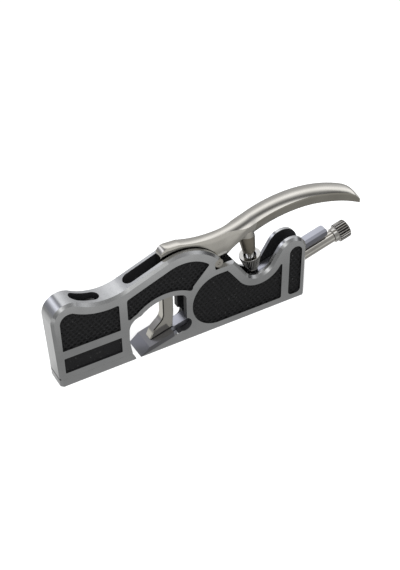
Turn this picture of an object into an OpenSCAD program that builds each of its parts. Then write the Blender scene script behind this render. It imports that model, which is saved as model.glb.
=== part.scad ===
// Shoulder plane: a narrow metal plane with an open throat on both sides, a sliding
// toe, a bevel-up blade, a palm lever that clamps the blade and a screw depth adjuster.
// +X runs from toe to heel, +Z is up, the sole is z = 0, all sizes are in mm.

/* [Body] */
// Length of the sole, toe face to heel face
body_len = 206; // [204:0.5:210]
// Width across the two side faces
body_w = 19; // [18.6:0.1:22]
// Width of the chamfer along the outer edges
edge_chamfer = 1.9; // [1.2:0.1:2.1]
// Radius of the rounded nose
nose_r = 14; // [13.5:0.1:14.5]
// Height of the nose circle's centre above the sole
nose_z = 56.6; // [56:0.1:58]
// Forward lean of the front face in degrees
front_lean = 1.8; // [0.5:0.1:3]
// Radius of the hollow finger rest
rest_r = 41.3; // [40:0.1:42.5]
// Radius of the arch over the throat
arch_r = 38.7; // [38.2:0.1:39.2]
// Height of the arch circle's centre above the sole
arch_z = 40.2; // [39.5:0.1:41]
// Height of the land beside the lever's pivot
land_z = 55; // [54.5:0.1:55.5]
// Radius of the scoop in front of the heel horn
scoop_r = 13.3; // [12.5:0.1:13.8]
// Height of the scoop circle's centre above the sole
scoop_z = 48.3; // [47.8:0.1:49.5]
// Slope of the scoop's front wall in degrees
scoop_wall_angle = 54.5; // [52:0.5:57]
// Radius of the heel horn
horn_r = 13.2; // [12.5:0.1:13.5]
// Height of the horn circle's centre above the sole
horn_z = 44; // [43:0.5:46]

/* [Throat and slot] */
// Width of the slot that runs through arch and heel
slot_w = 10; // [9.8:0.1:10.6]
// Distance from the cutting edge forward to the front end of the top slot
slot_front = 6; // [5:0.25:6.5]
// Radius of the throat's upper arc
throat_r = 31.4; // [30.5:0.1:32]
// Radius of the throat's upper front corner
throat_corner_r = 10.4; // [9.5:0.1:11]
// Distance from the cutting edge back to the throat's rear edge
throat_rear = 38.7; // [38:0.1:39.5]
// Radius of the relief hole at the back of the bed
relief_r = 5.7; // [5:0.1:6.2]

/* [Side recesses] */
// Depth of the recesses in the side faces
recess_depth = 1; // [0.6:0.1:1.5]
// Width of the raised rim above the recesses
rim_w = 7.9; // [7.5:0.1:8.4]
// Corner radius of the recesses
recess_r = 1.6; // [1:0.1:2.5]

/* [Toe] */
// Height of the sliding toe plate
toe_h = 6.4; // [5.5:0.1:7]
// Gap between the toe plate's rear edge and the cutting edge
mouth = 3.8; // [3:0.1:4]
// Width of the toe plate's guide tongue
tongue_w = 9.8; // [8:0.1:9.8]
// Height of the guide tongue above the toe plate
tongue_h = 9.6; // [8:0.1:10]
// Diameter of the toe lock screw's thread
lock_d = 5; // [4:0.5:5]
// Diameter of the toe lock screw's head
lock_head_d = 8.6; // [8:0.1:8.8]
// Height of the toe lock screw's head
lock_head_h = 3; // [2.5:0.1:3.5]
// Thickness of the toe lock screw's washer
lock_washer_t = 0.8; // [0.5:0.1:1]
// Length of the long pocket for that screw in the finger rest
pocket_len = 22; // [20:0.5:23]
// Width of the long pocket
pocket_w = 9.2; // [9:0.1:9.6]
// Height of the pocket's floor above the sole
pocket_floor_z = 55.5; // [54:0.1:56]

/* [Blade] */
// Angle of the blade's bed in degrees
bed_angle = 15.25; // [15:0.05:15.5]
// Thickness of the blade
blade_t = 4.1; // [3.5:0.1:4.1]
// Length of the blade along the bed
blade_len = 172; // [165:1:176]
// Length of the full-width part of the blade
blade_wide_len = 29.5; // [26:0.5:30]
// Width of the blade's shank
shank_w = 8.9; // [8:0.1:9.2]
// Angle of the ground bevel to the blade's flat back in degrees
bevel_angle = 25; // [23:1:35]
// Diameter of the drive pin in the blade
drive_pin_d = 3; // [2:0.1:3.2]

/* [Lever] */
// Width of the lever's thin plate
lever_plate_w = 7.5; // [6.5:0.1:8]
// Width of the palm part of the lever
lever_palm_w = 16.4; // [15:0.1:17]
// Rise of the palm's rounded top above its side edges
palm_crown = 2.8; // [2:0.1:3.2]
// Thickness of the palm at its highest place
palm_t = 10.6; // [9.5:0.1:11.5]
// Height of the lever's top above the sole
lever_top_z = 92.6; // [92.2:0.1:93]
// Diameter of the pivot pin
pivot_d = 6.8; // [6:0.1:6.8]
// Width of the lever's foot
foot_w = 9.4; // [8:0.1:9.4]
// Diameter of the screw boss at its lower end
boss_low_d = 9.6; // [9:0.1:10.5]
// Diameter of the screw boss at its upper end
boss_top_d = 12.4; // [11:0.1:13]

/* [Lever screw] */
// Diameter of the screw's thread
stud_d = 5; // [4:0.5:5]
// Upper diameter of the knurled thumb wheel
wheel_top_d = 16.4; // [14:0.1:16.6]
// Lower diameter of the knurled thumb wheel
wheel_low_d = 10.4; // [9:0.1:11]
// Height of the thumb wheel
wheel_h = 13.2; // [12:0.1:13.4]
// Diameter of the thrust pad
pad_d = 8.4; // [7:0.1:8.8]

/* [Depth adjuster] */
// Diameter of the adjuster's thick rod
rod_d = 9.2; // [8.5:0.1:9.4]
// Depth of the rod's axis below the blade's underside
rod_drop = 8.6; // [8.6:0.1:8.9]
// Diameter of the adjuster's thread
rod_thread_d = 6; // [5:0.5:6]
// Place of the knob's hub along the bed, from the cutting edge
hub_s = 177; // [175:0.5:180]
// Diameter of the knob's hub
hub_d = 11.6; // [11:0.1:12]
// Length of the knob's hub
hub_len = 4; // [3:0.5:5]
// Diameter of the knob's grip
knob_d = 14.6; // [13:0.1:15]
// Length of the knob's grip
knob_len = 9.3; // [8:0.1:11]

/* [Hidden] */
$fn = 96;

steel = [0.62, 0.63, 0.62];
nickel = [0.70, 0.67, 0.60];
blued = [0.66, 0.67, 0.72];
stainless = [0.68, 0.66, 0.62];
dark = [0.12, 0.12, 0.13];
brass_tone = [0.74, 0.60, 0.34];

half_l = body_len / 2;
half_w = body_w / 2;
seat_gap = 0.05;
run_gap = 0.05;
cut = 1;

function unit(v) = v / norm(v);

// Outline of the body in the side view: circles that touch each other
edge_x = half_l - 143;
front_up = [-sin(front_lean), cos(front_lean)];
front_out = [-cos(front_lean), -sin(front_lean)];
function on_front(z) = [-half_l - z * tan(front_lean), z];
nose_c = [-half_l + (nose_r - nose_z * sin(front_lean)) / cos(front_lean), nose_z];
arch_c = [edge_x + 36.5, arch_z];
rest_x = nose_c[0] + 0.33 * (arch_c[0] - nose_c[0]);
rest_c = [rest_x, nose_z + sqrt(pow(nose_r + rest_r, 2) - pow(rest_x - nose_c[0], 2))];
to_rest = unit(rest_c - nose_c);
span = rest_c - arch_c;
ramp_angle = atan2(span[1], span[0]) - 180 + asin((rest_r + arch_r) / norm(span));
ramp_n = [-sin(ramp_angle), cos(ramp_angle)];
ramp_start = rest_c - rest_r * ramp_n;
ramp_end = arch_c + arch_r * ramp_n;
arch_end_x = edge_x + 68.6;
arch_end_n = unit([arch_end_x + 3 - arch_c[0], land_z + 4.5 - arch_c[1]]);
top_z = arch_z + arch_r + 10;
rest_start = nose_c + nose_r * to_rest;
nose_off = unit([-to_rest[1], to_rest[0]] + 0.1 * to_rest);
past = 2;
lap = 0.02;
step = 0.04;
scoop_c = [half_l - 42, scoop_z];
horn_c = [half_l - horn_r, horn_z];
front_n = [sin(scoop_wall_angle), cos(scoop_wall_angle)];
front_wall_end = scoop_c - scoop_r * front_n;
front_wall_len = (land_z - front_wall_end[1]) / sin(scoop_wall_angle);
front_wall_start = front_wall_end + front_wall_len * [-front_n[1], front_n[0]];
to_horn = horn_c - scoop_c;
horn_wall_angle = asin((scoop_r + horn_r) / norm(to_horn)) + atan2(to_horn[1], to_horn[0]);
horn_n = [-sin(horn_wall_angle), cos(horn_wall_angle)];
horn_wall_start = scoop_c - scoop_r * horn_n;
horn_wall_end = horn_c + horn_r * horn_n;

// The bed: s runs up the bed from the cutting edge, h stands square to it
edge_flat = 1.5;
function on_bed(s, h) = [edge_x + s * cos(bed_angle) - h * sin(bed_angle),
  s * sin(bed_angle) + h * cos(bed_angle)];

// Throat, toe and the toe's lock
slot_front_x = edge_x - slot_front;
throat_rear_x = edge_x + throat_rear;
throat_c = [edge_x + 22.6, 14.6];
corner_c = [edge_x + 2.7, 27.8];
throat_front_x = edge_x - 8;
throat_round_r = 5;
throat_round_x = throat_rear_x - throat_round_r;
throat_round_c = [throat_round_x, throat_c[1]
  + sqrt(pow(throat_r - throat_round_r, 2) - pow(throat_round_x - throat_c[0], 2))];
throat_dir = (throat_round_c - throat_c) / norm(throat_round_c - throat_c);
mouth_wall_x = edge_x - 6.4;
relief_c = [edge_x + 37, 14.9];
toe_wall_x = edge_x - 14.4;
arch_recess_x = edge_x - 8.3;
nose_recess_r = 7.4;
nose_recess_c = rest_c - (rest_r + rim_w + nose_recess_r) * to_rest;
nose_recess_x = nose_recess_c[0] - nose_recess_r;
main_recess_c = [edge_x + 66.2, 27.9];
main_recess_r = 22.6;
main_recess_end = half_l - 22;
heel_recess_c = [half_l - 10.1, 43.9];
heel_recess_r = 5.5;
heel_foot_r = 3.6;
sharp_r = 0.6;
toe_rear_x = edge_x - mouth;
toe_travel_open = 3;
toe_travel_close = 1;
tongue_x0 = -half_l + 8;
tongue_x1 = edge_x - 17.5;
lock_x = tongue_x0 + 0.6133 * (tongue_x1 - tongue_x0);
lock_seat_z = pocket_floor_z;
lock_len = 47;
lock_end_gap = 2.9;
pocket_x0 = lock_x - 15;

// Depth adjuster along the bed
blade_travel_out = 2;
blade_travel_back = 6;
bush_s = 66;
bush_len = 14;
spindle_s = 58;
thread_end_s = 88;
drive_s = 98;
groove_w = drive_pin_d + 0.2;
groove_r = 2.9;
bore_end_s = (half_l - edge_x + rod_d) / cos(bed_angle);
bed_end_s = (half_l - edge_x + horn_z) / cos(bed_angle);

// Lever: pivot, arcs of the outline and the screw's tilted axis
pivot_c = [edge_x + 66, 59.9];
palm_r = 108.8;
palm_c = [pivot_c[0] + 68.5, lever_top_z - palm_r];
under_r = palm_r - 6;
under_c = [palm_c[0] + 1.8, lever_top_z - palm_t - under_r];
dip_z = lever_top_z - 12.8;
dip_x = pivot_c[0] - 1.5;
dip_a = dip_z - palm_c[1];
dip_b = palm_c[0] - dip_x;
dip_r = (pow(dip_a, 2) + pow(dip_b, 2) - pow(palm_r, 2)) / (2 * (palm_r - dip_a));
dip_c = [dip_x, dip_z + dip_r];
to_dip = unit(dip_c - palm_c);
crown_r = (pow(lever_palm_w / 2, 2) + pow(palm_crown, 2)) / (2 * palm_crown);
side_draw = 0.32;
tip_r = 17;
tip_turn = 5.6;
tip_angle = 27.8;
tip_start = palm_c + palm_r * [sin(tip_angle), cos(tip_angle)];
tip_c = tip_start - tip_r * [sin(tip_angle + tip_turn), cos(tip_angle + tip_turn)];
web_c = [pivot_c[0] + 44, 35.9];
web_r = 40.4;
web_x = pivot_c[0] + 30.4;
lever_nose_c = [pivot_c[0] - 37.8, 78.2];
lever_nose_r = 6.2;
widen_x0 = pivot_c[0] + 8;
widen_x1 = pivot_c[0] + 27;
screw_tilt = 10;
screw_foot = [pivot_c[0] + 34.9, 31.7];
wheel_t0 = 5.4;
boss_t = 22.5;
stud_t0 = 2.6;
stud_t1 = 34.5;

// An outline drawn in the side view, given a width across the body
module across(w) {
  rotate([90, 0, 0])
    linear_extrude(height = w, center = true)
      children();
}

// A wedge of the side view with its point at c, open from direction p to direction q
module wedge(c, p, q, r) {
  across(body_w + 2 * cut)
    polygon([c, c + r * p, c + r * (p + q), c + r * q]);
}

// Takes away what stands outside a convex arc and leaves its side edges chamfered
module round_off(c, r, p, q) {
  difference() {
    wedge(c, p, q, 4 * r);
    translate([c[0], 0, c[1]])
      rotate([90, 0, 0])
        rotate_extrude()
          polygon([[0, -half_w - 2 * cut], [r + lap - edge_chamfer - 2 * cut, -half_w - 2 * cut],
            [r + lap, edge_chamfer - half_w], [r + lap, half_w - edge_chamfer],
            [r + lap - edge_chamfer - 2 * cut, half_w + 2 * cut], [0, half_w + 2 * cut]]);
  }
}

// Takes away a hollow arc and leaves its side edges chamfered
module hollow_out(c, r) {
  e = edge_chamfer + 2 * step;
  translate([c[0], 0, c[1]])
    rotate([90, 0, 0])
      rotate_extrude()
        polygon([[0, -half_w - cut], [r + lap + e + cut, -half_w - cut],
          [r + lap, e - half_w], [r + lap, half_w - e],
          [r + lap + e + cut, half_w + cut], [0, half_w + cut]]);
}

// Chamfers both side edges of a straight run between two outline points
module chamfer_run(p, q) {
  e = edge_chamfer + step;
  translate([p[0], 0, p[1]])
    rotate([0, -atan2(q[1] - p[1], q[0] - p[0]), 0])
      rotate([90, 0, 90])
        for (side = [-1, 1])
          linear_extrude(height = norm(q - p))
            polygon([[side * (half_w - e - cut), cut],
              [side * (half_w + cut), -e - cut], [side * (half_w + cut), cut]]);
}

// Where a line from p along d meets a circle; side is 1 for the far crossing, -1 for the near
function meet(p, d, c, r, side) = let (w = p - c, k = w * d)
  p + d * (-k + side * sqrt(k * k - w * w + r * r));

// Direction along a circle about c at point p, turning anticlockwise
function along_arc(p, c) = [c[1] - p[1], p[0] - c[0]] / norm(p - c);

// What rounds a corner at c between two sides that leave it along u and v
module corner_fill(c, u, v, r) {
  m = unit(u + v);
  half = acos(u * v) / 2;
  o = c + (r / sin(half)) * m;
  a = c + (r / tan(half)) * u - o;
  b = c + (r / tan(half)) * v - o;
  difference() {
    polygon([o, o + 1.5 * a, c - 0.8 * r * m, o + 1.5 * b]);
    translate(o)
      circle(r = r + lap, $fn = 48);
  }
}

// A rectangle with round corners in the side view
module soft_rect(x0, z0, x1, z1, r) {
  translate([x0 + r, z0])
    square([x1 - x0 - 2 * r, z1 - z0]);
  translate([x0, z0 + r])
    square([x1 - x0, z1 - z0 - 2 * r]);
  for (x = [x0 + r, x1 - r])
    for (z = [z0 + r, z1 - r])
      translate([x, z])
        circle(r = r, $fn = 48);
}

// A long round-ended hole in plan, between two centres
module long_hole(x0, x1, w, z0, z1) {
  translate([0, 0, z0])
    linear_extrude(height = z1 - z0) {
      translate([x0, -w / 2])
        square([x1 - x0, w]);
      for (x = [x0, x1])
        translate([x, 0])
          circle(r = w / 2, $fn = 48);
    }
}

module along_bed(s, h) {
  translate([on_bed(s, h)[0], 0, on_bed(s, h)[1]])
    rotate([0, -bed_angle, 0])
      children();
}

// A round bar whose axis lies along the bed
module bed_bar(s, h, r, len) {
  along_bed(s, h)
    rotate([0, 90, 0])
      cylinder(r = r, h = len);
}

module along_screw(t) {
  translate([screw_foot[0] - t * sin(screw_tilt), 0, screw_foot[1] + t * cos(screw_tilt)])
    rotate([0, -screw_tilt, 0])
      children();
}

// The body's blank: a straight-sided outline, then every arc and chamfer is cut into it
module body_blank() {
  difference() {
    across(body_w)
      polygon([on_front(toe_h + seat_gap), nose_c + nose_r * front_out + (nose_r + 5) * front_up,
        rest_start + 12 * nose_off, rest_start, ramp_start,
        ramp_end + 24 * [ramp_n[1], -ramp_n[0]], [arch_end_x, top_z],
        [arch_end_x, land_z], front_wall_start, front_wall_end,
        scoop_c - [0, scoop_r - 5], horn_wall_start,
        horn_wall_end + 10 * [horn_n[1], -horn_n[0]], [half_l, horn_z + horn_r + 4],
        [half_l, 0], [edge_x, 0], [mouth_wall_x, toe_h + seat_gap]]);
    round_off(nose_c, nose_r, front_out, to_rest);
    hollow_out(rest_c, rest_r);
    round_off(arch_c, arch_r, ramp_n, arch_end_n);
    hollow_out(scoop_c, scoop_r);
    round_off(horn_c, horn_r, horn_n, [1, 0]);
    chamfer_run(on_front(-cut), nose_c + nose_r * front_out + past * front_up);
    chamfer_run(ramp_start, ramp_end + past * [ramp_n[1], -ramp_n[0]]);
    chamfer_run(front_wall_start - past * [front_n[1], -front_n[0]], front_wall_end);
    chamfer_run(horn_wall_start, horn_wall_end + past * [horn_n[1], -horn_n[0]]);
    chamfer_run([half_l, horn_z + past], [half_l, -cut]);
  }
}

// The open throat with the mouth below it and the relief hole behind the bed
module throat_2d() {
  difference() {
    union() {
      intersection() {
        translate(throat_c)
          circle(r = throat_r);
        union() {
          polygon([[edge_x, 20], [edge_x, 60], throat_c + 45 * throat_dir, throat_round_c,
            [throat_rear_x, throat_round_c[1]], [throat_rear_x, 20]]);
          translate(throat_round_c)
            circle(r = throat_round_r + lap, $fn = 48);
        }
      }
      translate(corner_c)
        circle(r = throat_corner_r);
      polygon([[throat_front_x, 20.5], corner_c - [throat_corner_r, 0], corner_c,
        [throat_rear_x, 30], [throat_rear_x, 20], on_bed(36, 0), on_bed(edge_flat, 0),
        [edge_x + edge_flat, -cut], [mouth_wall_x, -cut],
        [mouth_wall_x, toe_h + seat_gap], [mouth_wall_x - 1, 14]]);
    }
    polygon([on_bed(0, -seat_gap), on_bed(60, -seat_gap), on_bed(60, -30), on_bed(0, -30)]);
  }
  translate(relief_c)
    circle(r = relief_r, $fn = 64);
}

// Outlines of the five recesses in each side face
module recess_2d() {
  // upper nose recess under the finger rest
  rest_rim = rest_r + rim_w;
  nose_corner = meet([toe_wall_x, 40], [0, 1], rest_c, rest_rim, -1);
  difference() {
    union() {
      translate(nose_recess_c)
        circle(r = nose_recess_r, $fn = 64);
      polygon([[nose_recess_x, nose_recess_c[1]], nose_recess_c, nose_recess_c + [4, 12],
        [toe_wall_x, 60], [toe_wall_x, 32 + sharp_r], [nose_recess_x, 32 + sharp_r]]);
      foot_row(nose_recess_x, toe_wall_x, 32, sharp_r);
    }
    translate(rest_c)
      circle(r = rest_rim + lap);
    corner_fill(nose_corner, [0, -1], -along_arc(nose_corner, rest_c), recess_r);
  }
  // lower nose recess
  soft_rect(nose_recess_x + 0.3, 11.6, toe_wall_x + 0.2, 25, sharp_r);
  arch_recess_2d();
  main_recess_2d();
  // upright heel recess
  translate(heel_recess_c)
    circle(r = heel_recess_r, $fn = 64);
  heel_x0 = heel_recess_c[0] - heel_recess_r;
  heel_x1 = heel_recess_c[0] + heel_recess_r;
  polygon([[heel_x0, heel_recess_c[1]], [heel_x1, heel_recess_c[1]],
    [heel_x1, 4.7 + heel_foot_r], [heel_x0, 4.7 + heel_foot_r]]);
  foot_row(heel_x0, heel_x1, 4.7, heel_foot_r);
}

// Arch recess between the ramp and the throat
module arch_recess_2d() {
  rest_rim = rest_r + rim_w;
  arch_rim = arch_r - rim_w;
  throat_rim = throat_r + 4.2;
  side_low = [edge_x + 44.4, 47.4];
  side_dir = unit([13.6, 14.4]);
  side_top = meet(side_low, side_dir, arch_c, arch_rim, 1);
  foot_dir = unit([-2.9, -17.4]);
  side_foot = meet(side_low, foot_dir, throat_c, throat_rim, -1);
  front_top = meet([arch_recess_x, 40], [0, 1], rest_c, rest_rim, -1);
  difference() {
    polygon([[arch_recess_x, 39], [arch_recess_x, 60], ramp_start - (rim_w - 2) * ramp_n,
      ramp_start - rim_w * ramp_n, ramp_end - rim_w * ramp_n + 20 * [ramp_n[1], -ramp_n[0]],
      side_top + [0, 12], side_top + 3 * side_dir, side_low, side_low + 18 * foot_dir,
      [edge_x + 10, 30]]);
    difference() {
      polygon([arch_c, arch_c + 50 * ramp_n, arch_c + [10, 60], arch_c + [60, 30]]);
      translate(arch_c)
        circle(r = arch_rim + lap);
    }
    translate(rest_c)
      circle(r = rest_rim + lap);
    translate(throat_c)
      circle(r = throat_rim);
    translate(corner_c)
      circle(r = throat_corner_r + 3.4);
    corner_fill(side_top, -side_dir, along_arc(side_top, arch_c), recess_r);
    corner_fill(side_foot, -foot_dir, along_arc(side_foot, throat_c), recess_r);
    corner_fill(front_top, [0, -1], along_arc(front_top, rest_c), 1.6 * recess_r);
  }
}

// Main recess under the scoop
module main_recess_2d() {
  low_z = main_recess_c[1] - main_recess_r;
  wall_p = front_wall_end - rim_w * front_n;
  wall_dir = [-front_n[1], front_n[0]];
  shoulder = meet(wall_p, wall_dir, main_recess_c, main_recess_r, 1);
  horn_p = horn_wall_start - rim_w * horn_n;
  horn_dir = [horn_n[1], -horn_n[0]];
  peak = horn_p + horn_dir * (main_recess_end - horn_p[0]) / horn_dir[0];
  difference() {
    union() {
      translate(main_recess_c)
        circle(r = main_recess_r);
      polygon([main_recess_c, [main_recess_c[0], low_z], [main_recess_end, low_z],
        [main_recess_end, main_recess_c[1] + main_recess_r],
        main_recess_c + [0, main_recess_r]]);
    }
    translate(scoop_c)
      circle(r = scoop_r + rim_w + lap);
    polygon([wall_p, wall_p + 30 * wall_dir, scoop_c + [-1, 27], scoop_c]);
    polygon([horn_p, horn_p + 30 * horn_dir, scoop_c + [-1, 27], scoop_c]);
    corner_fill(shoulder, -wall_dir, along_arc(shoulder, main_recess_c), 2 * recess_r);
    corner_fill(peak, [0, -1], -horn_dir, 0.6 * recess_r);
    corner_fill([main_recess_end, low_z], [0, 1], [-1, 0], recess_r);
  }
}

// The lower end of a recess, with two round corners
module foot_row(x0, x1, z0, r) {
  translate([x0 + r, z0])
    square([x1 - x0 - 2 * r, r]);
  for (x = [x0 + r, x1 - r])
    translate([x, z0 + r])
      circle(r = r, $fn = 48);
}

module body() {
  color(steel)
    difference() {
      body_blank();
      // room for the toe plate and its tongue
      translate([-half_l - cut, -half_w - cut, -cut])
        cube([half_l + cut + mouth_wall_x, body_w + 2 * cut, toe_h + seat_gap + cut]);
      translate([tongue_x0 - toe_travel_open - cut, -tongue_w / 2 - run_gap, 0])
        cube([tongue_x1 - tongue_x0 + toe_travel_open + toe_travel_close + 2 * cut,
          tongue_w + 2 * run_gap, toe_h + tongue_h + 0.6]);
      across(body_w + 2 * cut)
        throat_2d();
      // slot from the top of the ramp into the throat
      long_hole(slot_front_x + slot_w / 2, edge_x + 34, slot_w, 20, top_z);
      // slot above the bed, through arch and heel
      along_bed(22, -seat_gap)
        translate([0, -slot_w / 2, 0])
          cube([bed_end_s - 22, slot_w, top_z]);
      // open seat of the pivot pin
      translate([pivot_c[0], 0, pivot_c[1]])
        rotate([90, 0, 0])
          cylinder(d = pivot_d + 2 * run_gap, h = body_w + 2 * cut, center = true);
      across(body_w + 2 * cut)
        polygon([[pivot_c[0] - 3.3, land_z + 0.9], [pivot_c[0] - 2.4, land_z],
          [scoop_c[0], land_z], [scoop_c[0], pivot_c[1] + pivot_d / 2],
          [pivot_c[0], pivot_c[1] + pivot_d / 2],
          [pivot_c[0] - 3.3, pivot_c[1] - 0.8]]);
      // pocket and slot of the toe lock screw
      long_hole(pocket_x0 + pocket_w / 2, pocket_x0 + pocket_len - pocket_w / 2,
        pocket_w, pocket_floor_z, top_z);
      long_hole(lock_x - toe_travel_open - 0.3, lock_x + toe_travel_close + 0.3,
        lock_d + 0.6, toe_h + 2, top_z);
      // stepped bore of the depth adjuster and the drive pin's window in the bed
      bed_bar(bush_s, -rod_drop, rod_d / 2 + run_gap, bore_end_s - bush_s);
      bed_bar(spindle_s - blade_travel_out - 3, -rod_drop, rod_thread_d / 2 + 0.35, 20);
      along_bed(0, -rod_drop)
        long_hole(drive_s - blade_travel_out - 0.4, drive_s + blade_travel_back + 0.4,
          drive_pin_d + 0.6, 0, rod_drop + 2);
      // recesses of both side faces
      for (side = [-1, 1])
        translate([0, side * half_w, 0])
          across(2 * recess_depth)
            recess_2d();
    }
}

module toe_piece() {
  color(steel)
    difference() {
      union() {
        across(body_w)
          polygon([on_front(0), [toe_rear_x, 0], [toe_rear_x - 0.4, 1.6],
            [mouth_wall_x, toe_h], on_front(toe_h)]);
        translate([tongue_x0, -tongue_w / 2, toe_h - cut])
          cube([tongue_x1 - tongue_x0, tongue_w, tongue_h + cut]);
      }
      chamfer_run(on_front(-cut), on_front(toe_h + cut));
      translate([lock_x, 0, lock_seat_z + lock_washer_t - lock_len - lock_end_gap])
        cylinder(d = lock_d + 2 * run_gap, h = lock_len);
    }
}

module toe_lock_screw() {
  color(steel)
    translate([lock_x, 0, lock_seat_z + lock_washer_t])
      difference() {
        union() {
          translate([0, 0, seat_gap])
            cylinder(d = lock_head_d, h = lock_head_h - 0.4);
          translate([0, 0, lock_head_h - 0.4 + seat_gap])
            cylinder(d1 = lock_head_d, d2 = lock_head_d - 0.8, h = 0.4);
          translate([0, 0, -lock_len])
            cylinder(d = lock_d, h = lock_len + 1);
        }
        translate([-lock_head_d, -0.6, lock_head_h - 1.2])
          cube([2 * lock_head_d, 1.2, 3]);
      }
}

module toe_lock_washer() {
  color(stainless)
    translate([lock_x, 0, lock_seat_z])
      difference() {
        cylinder(d = lock_head_d + 0.3, h = lock_washer_t);
        translate([0, 0, -cut])
          cylinder(d = lock_d + 0.2, h = 3);
      }
}

module blade() {
  color(blued)
    difference() {
      along_bed(0, 0)
        union() {
          across(body_w)
            polygon([[0, 0], [blade_wide_len, 0], [blade_wide_len, blade_t],
              [blade_t / tan(bevel_angle), blade_t]]);
          linear_extrude(height = blade_t)
            polygon([[blade_wide_len - cut, -shank_w / 2], [blade_len - 1.2, -shank_w / 2],
              [blade_len, 1.2 - shank_w / 2], [blade_len, shank_w / 2 - 1.2],
              [blade_len - 1.2, shank_w / 2], [blade_wide_len - cut, shank_w / 2]]);
        }
      along_bed(drive_s, -cut)
        cylinder(d = drive_pin_d + 0.04, h = cut + 3);
    }
}

module blade_drive_pin() {
  color(stainless)
    along_bed(drive_s, -rod_drop + groove_r + 0.3)
      cylinder(d = drive_pin_d, h = rod_drop - groove_r - 0.3 + 2.9, $fn = 48);
}

// Side outline of the lever: nose, web round the pivot, hollow underside and tip
module lever_2d() {
  blank_z = lever_top_z + 6;
  tip_x = tip_c[0] + tip_r + 6;
  difference() {
    union() {
      translate(lever_nose_c)
        circle(r = lever_nose_r, $fn = 64);
      translate(pivot_c)
        circle(r = 7, $fn = 64);
      difference() {
        polygon([lever_nose_c - [0, lever_nose_r], lever_nose_c + [0, lever_nose_r - 0.1],
          [pivot_c[0] - 24, lever_nose_c[1] + 5.4], [pivot_c[0] - 24, blank_z],
          [web_x, blank_z], [web_x, 72], pivot_c + [8, -9.9], pivot_c + [4, -6],
          pivot_c - [7, 0], pivot_c + [-18, 8.1], pivot_c + [-35, 8.1]]);
        translate(web_c)
          circle(r = web_r);
      }
      difference() {
        polygon([[web_x - 0.01, blank_z], [tip_x, blank_z], [tip_x, 60],
          [web_x - 0.01, 60]]);
        translate(under_c)
          circle(r = under_r, $fn = 180);
      }
    }
    difference() {
      polygon([tip_c, tip_c + [24, 42], tip_c + [70, 20], tip_c + [45, -22]]);
      translate(tip_c)
        circle(r = tip_r);
    }
  }
}

// Half the lever's width in plan: thin plate, smooth widening, wide palm
function lever_half(x) = let (u = min(1, max(0, (x - widen_x0) / (widen_x1 - widen_x0))))
  lever_plate_w / 2 + (lever_palm_w + 0.6 - lever_plate_w) / 4 * (1 - cos(180 * u));

module lever_plan() {
  tip_x = tip_c[0] + tip_r - lever_palm_w / 2;
  xs = concat([lever_nose_c[0] - 15],
    [for (i = [0 : 14]) widen_x0 + (widen_x1 - widen_x0) * i / 14], [tip_x]);
  polygon(concat([for (x = xs) [x, lever_half(x)]],
    [for (i = [len(xs) - 1 : -1 : 0]) [xs[i], -lever_half(xs[i])]]));
  translate([tip_x, 0])
    circle(d = lever_palm_w + 0.6, $fn = 64);
}

// Section of the lever: rounded top, sharp side edges and sides that draw in below them.
// top is the radius of the highest line; dir is 1 where the arc is convex, -1 where hollow
module lever_section(top, dir, more, deep) {
  w = lever_palm_w / 2 + more;
  high = w + side_draw * (palm_crown + 1);
  low = w - side_draw * (10 - palm_crown);
  difference() {
    polygon([[top + dir, -high], [top - 10 * dir, -low], [top - deep * dir, -low],
      [top - deep * dir, low], [top - 10 * dir, low], [top + dir, high]]);
    difference() {
      translate([top - 3 * dir, 0])
        square([12, 4 * w], center = true);
      translate([top - dir * crown_r, 0])
        circle(r = crown_r, $fn = 128);
    }
  }
}

// A section turned about an axis across the body, through point c of the side view
module turned_about(c) {
  translate([c[0], 0, c[1]])
    rotate([90, 0, 0])
      rotate_extrude($fn = 180)
        children();
}

// Takes away what stands outside the lever's section along its two arcs
module crown_cut() {
  difference() {
    wedge(palm_c, unit([6, 5]), to_dip, 2 * palm_r);
    turned_about(palm_c)
      lever_section(palm_r, 1, 0, palm_r - 5);
  }
  difference() {
    wedge(dip_c, unit([-7, -10]), unit(past * [to_dip[1], -to_dip[0]] - dip_r * to_dip), 150);
    turned_about(dip_c)
      lever_section(dip_r - step, -1, 0.06, 130);
  }
}

module lever_cap() {
  color(nickel)
    difference() {
      union() {
        difference() {
          intersection() {
            across(lever_palm_w + 2)
              lever_2d();
            translate([0, 0, 40])
              linear_extrude(height = 60)
                lever_plan();
          }
          crown_cut();
        }
        // leg that reaches down through the slot to the blade
        across(lever_plate_w)
          polygon([[-17.6, 78], [-17.6, 24], [-10.3, 16], [-8.9, 24], [-8.9, 78]]);
        // foot on the blade
        across(foot_w)
          polygon([on_bed(12.3, blade_t + seat_gap), [-28.6, 9.4], [-26.2, 15.6],
            [-20.1, 21.6], [-17.6, 25.6], [-9.1, 25.6], [-9.6, 20],
            on_bed(32, blade_t + seat_gap)]);
        // boss of the lever screw
        along_screw(boss_t)
          rotate_extrude()
            polygon([[0, 0], [boss_low_d / 2, 0], [boss_top_d / 2, 13],
              [boss_top_d / 2, 22.9], [0, 22.9]]);
      }
      translate([pivot_c[0], 0, pivot_c[1]])
        rotate([90, 0, 0])
          cylinder(d = pivot_d + 0.04, h = body_w, center = true);
      along_screw(boss_t - cut)
        cylinder(d = stud_d + 2 * run_gap, h = stud_t1 - boss_t + 2.6 + cut);
    }
}

module lever_pivot_pin() {
  color(stainless)
    translate([pivot_c[0], 0, pivot_c[1]])
      rotate([90, 0, 0])
        difference() {
          cylinder(d = pivot_d, h = body_w - 0.4, center = true);
          for (side = [-1, 1])
            translate([0, 0, side * (half_w - 0.2)])
              sphere(d = 2.2, $fn = 48);
        }
}

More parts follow.
